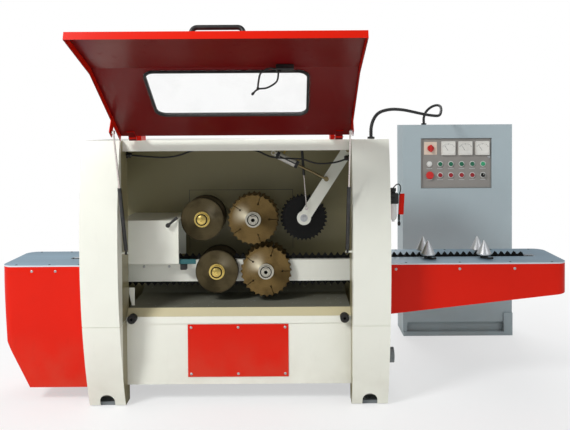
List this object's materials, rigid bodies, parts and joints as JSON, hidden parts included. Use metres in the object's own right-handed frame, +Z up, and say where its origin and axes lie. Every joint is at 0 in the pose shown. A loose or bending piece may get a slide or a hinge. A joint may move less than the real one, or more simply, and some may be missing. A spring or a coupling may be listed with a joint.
{
  "type": "multi rip saw",
  "caption": "Log rip saw with a spiked feed chain between two beds, upper and lower saw arbors, guide discs, a press wheel, a lift-up hood on gas struts and a control cabinet.",
  "frame": {"origin": "on the floor, amid the four anchor bolts", "axes": "+X along the beds from outfeed to infeed, +Y away from the operator, +Z up"},
  "size_m": [3.311, 2.4823, 2.0047],
  "materials": {
    "ivory_paint": "satin ivory paint",
    "red_paint": "gloss red paint",
    "grey_paint": "matt grey paint",
    "zinc": "zinc plated",
    "steel": "ground steel",
    "chain_steel": "blackened steel",
    "cast_housing": "painted cast iron",
    "motor_paint": "grey blue paint",
    "blade_steel": "bronze tinted blade steel",
    "disc_steel": "browned steel",
    "polished": "polished",
    "black_plastic": "matt black",
    "rubber": "black rubber",
    "black_tube": "black lacquer",
    "aluminium": "drawn aluminium",
    "clear": "clear sheet",
    "white_plastic": "white plastic",
    "green_plastic": "green plastic",
    "red_plastic": "red plastic"
  },
  "bodies": {
    "frame": {"base_frame": "ivory_paint", "left_column": "ivory_paint", "right_column": "ivory_paint", "rear_wall": "ivory_paint", "roof": "ivory_paint", "front_panel": "ivory_paint", "access_cover": "red_paint", "cover_screws": "zinc", "front_sill": "ivory_paint", "feed_rail": "ivory_paint", "feed_chain": "chain_steel", "outfeed_guard": "ivory_paint", "left_bed_top": "grey_paint", "left_bed_body": "red_paint", "right_bed_top": "grey_paint", "right_bed_body": "red_paint", "bearing_housings": "cast_housing", "drive_motors": "motor_paint", "cabinet": "ivory_paint", "conduit": "rubber", "air_unit": "black_plastic", "hood_buffers": "rubber", "cone_studs": "zinc"},
    "hood": {"hood_shell": "red_paint", "hood_window": "clear", "hood_handle": "black_plastic", "mist_lines": "black_plastic"},
    "strut_body": {"strut_tubes": "black_tube"},
    "strut_piston": {"strut_rods": "zinc"},
    "upper_saw": {"upper_arbor": "steel", "upper_blades": "blade_steel"},
    "lower_saw": {"lower_arbor": "steel", "lower_blades": "blade_steel"},
    "upper_guide": {"upper_discs": "disc_steel"},
    "lower_guide": {"lower_discs": "disc_steel"},
    "arm": {"press_arm": "ivory_paint"},
    "wheel": {"press_wheel": "chain_steel"},
    "cylinder": {"press_cylinder": "aluminium"},
    "cylinder_rod": {"press_rod": "zinc"},
    "lift": {"lift_tube": "black_tube"},
    "lift_piston": {"lift_rod": "zinc"},
    "drive": {"drive_sprocket": "steel"},
    "idler": {"idler_sprocket": "steel"},
    "panel": {"control_panel": "grey_paint", "panel_instruments": "white_plastic"},
    "cone_1_body": {"cone_1": "polished"},
    "cone_2_body": {"cone_2": "polished"},
    "cone_3_body": {"cone_3": "polished"},
    "cone_4_body": {"cone_4": "polished"},
    "green_1_cap": {"green_1": "green_plastic"},
    "green_2_cap": {"green_2": "green_plastic"},
    "green_3_cap": {"green_3": "green_plastic"},
    "green_4_cap": {"green_4": "green_plastic"},
    "red_1_cap": {"red_1": "red_plastic"},
    "red_2_cap": {"red_2": "red_plastic"},
    "red_3_cap": {"red_3": "red_plastic"},
    "red_4_cap": {"red_4": "red_plastic"},
    "estop_cap": {"emergency_stop": "red_plastic"},
    "selector_cap": {"selector_knob": "black_plastic"},
    "switch_handle": {"main_switch": "red_plastic"}
  },
  "joints": [
    {"name": "hood_hinge", "type": "hinge", "parent": "frame", "child": "hood", "pos_m": [0, -0.332, 1.515], "axis": [1, 0, 0], "range_deg": [0, 117]},
    {"name": "strut_swing", "type": "hinge", "parent": "frame", "child": "strut_body", "pos_m": [0, -0.335, 0.879], "axis": [1, 0, 0], "range_deg": [-30.86, 0.01]},
    {"name": "strut_slide", "type": "slide", "parent": "strut_body", "child": "strut_piston", "axis": [0, -0.333, 0.9429], "range_m": [-0.29336, 0.0001]},
    {"name": "upper_saw_spin", "type": "hinge", "parent": "frame", "child": "upper_saw", "pos_m": [0.077, 0, 1.027], "axis": [0, 1, 0], "continuous": true},
    {"name": "lower_saw_spin", "type": "hinge", "parent": "frame", "child": "lower_saw", "pos_m": [0.151, 0, 0.721], "axis": [0, 1, 0], "continuous": true},
    {"name": "upper_guide_spin", "type": "hinge", "parent": "frame", "child": "upper_guide", "pos_m": [-0.223, 0, 1.03], "axis": [0, 1, 0], "continuous": true},
    {"name": "lower_guide_spin", "type": "hinge", "parent": "frame", "child": "lower_guide", "pos_m": [-0.139, 0, 0.721], "axis": [0, 1, 0], "continuous": true},
    {"name": "press_swing", "type": "hinge", "parent": "frame", "child": "arm", "pos_m": [0.64, 0, 1.434], "axis": [0, 1, 0], "range_deg": [0, 25]},
    {"name": "press_wheel_spin", "type": "hinge", "parent": "arm", "child": "wheel", "pos_m": [0.377, 0, 1.029], "axis": [0, 1, 0], "continuous": true},
    {"name": "cylinder_swing", "type": "hinge", "parent": "frame", "child": "cylinder", "pos_m": [0.2, 0, 1.42], "axis": [0, 1, 0], "range_deg": [-8.21, 0.01]},
    {"name": "cylinder_slide", "type": "slide", "parent": "cylinder", "child": "cylinder_rod", "axis": [0.8933, 0, -0.4495], "range_m": [-0.08237, 0.0001]},
    {"name": "lift_swing", "type": "hinge", "parent": "frame", "child": "lift", "pos_m": [0.367, 0, 1.435], "axis": [0, 1, 0], "range_deg": [-0.01, 29.17]},
    {"name": "lift_slide", "type": "slide", "parent": "lift", "child": "lift_piston", "axis": [0.0719, 0, -0.9974], "range_m": [-0.11647, 0.0001]},
    {"name": "drive_spin", "type": "hinge", "parent": "frame", "child": "drive", "pos_m": [-0.925, 0, 0.715], "axis": [0, 1, 0], "continuous": true},
    {"name": "idler_spin", "type": "hinge", "parent": "frame", "child": "idler", "pos_m": [1.6658, 0, 0.715], "axis": [0, 1, 0], "continuous": true},
    {"name": "cone_1_spin", "type": "hinge", "parent": "frame", "child": "cone_1_body", "pos_m": [1.11, -0.075, 0.809], "axis": [0, 0, 1], "continuous": true},
    {"name": "cone_2_spin", "type": "hinge", "parent": "frame", "child": "cone_2_body", "pos_m": [1.11, 0.075, 0.809], "axis": [0, 0, 1], "continuous": true},
    {"name": "cone_3_spin", "type": "hinge", "parent": "frame", "child": "cone_3_body", "pos_m": [1.443, -0.075, 0.809], "axis": [0, 0, 1], "continuous": true},
    {"name": "cone_4_spin", "type": "hinge", "parent": "frame", "child": "cone_4_body", "pos_m": [1.443, 0.075, 0.809], "axis": [0, 0, 1], "continuous": true},
    {"name": "panel_hinge", "type": "hinge", "parent": "frame", "child": "panel", "pos_m": [1.275, 0.973, 1.291], "axis": [0, 0, -1], "range_deg": [0, 90]},
    {"name": "green_1_press", "type": "slide", "parent": "panel", "child": "green_1_cap", "axis": [0, 1, 0], "range_m": [0, 0.006], "stiffness_N_per_m": 600},
    {"name": "green_2_press", "type": "slide", "parent": "panel", "child": "green_2_cap", "axis": [0, 1, 0], "range_m": [0, 0.006], "stiffness_N_per_m": 600},
    {"name": "green_3_press", "type": "slide", "parent": "panel", "child": "green_3_cap", "axis": [0, 1, 0], "range_m": [0, 0.006], "stiffness_N_per_m": 600},
    {"name": "green_4_press", "type": "slide", "parent": "panel", "child": "green_4_cap", "axis": [0, 1, 0], "range_m": [0, 0.006], "stiffness_N_per_m": 600},
    {"name": "red_1_press", "type": "slide", "parent": "panel", "child": "red_1_cap", "axis": [0, 1, 0], "range_m": [0, 0.006], "stiffness_N_per_m": 600},
    {"name": "red_2_press", "type": "slide", "parent": "panel", "child": "red_2_cap", "axis": [0, 1, 0], "range_m": [0, 0.006], "stiffness_N_per_m": 600},
    {"name": "red_3_press", "type": "slide", "parent": "panel", "child": "red_3_cap", "axis": [0, 1, 0], "range_m": [0, 0.006], "stiffness_N_per_m": 600},
    {"name": "red_4_press", "type": "slide", "parent": "panel", "child": "red_4_cap", "axis": [0, 1, 0], "range_m": [0, 0.006], "stiffness_N_per_m": 600},
    {"name": "emergency_stop_press", "type": "slide", "parent": "panel", "child": "estop_cap", "axis": [0, 1, 0], "range_m": [0, 0.006]},
    {"name": "selector_turn", "type": "hinge", "parent": "panel", "child": "selector_cap", "pos_m": [1.733, 0.977, 1.202], "axis": [0, 1, 0], "range_deg": [-45, 45]},
    {"name": "main_switch_turn", "type": "hinge", "parent": "panel", "child": "switch_handle", "pos_m": [1.341, 0.977, 1.403], "axis": [0, 1, 0], "range_deg": [0, 90]}
  ],
  "couplings": [
    {"joint": "strut_swing", "follows": "hood_hinge", "ratio": -0.26372},
    {"joint": "strut_slide", "follows": "hood_hinge", "m_per_rad": -0.14361},
    {"joint": "cylinder_swing", "follows": "press_swing", "ratio": -0.32785},
    {"joint": "cylinder_slide", "follows": "press_swing", "m_per_rad": -0.18854},
    {"joint": "lift_swing", "follows": "press_swing", "ratio": 1.1664},
    {"joint": "lift_slide", "follows": "press_swing", "m_per_rad": -0.2667},
    {"joint": "idler_spin", "follows": "drive_spin", "ratio": 1}
  ]
}
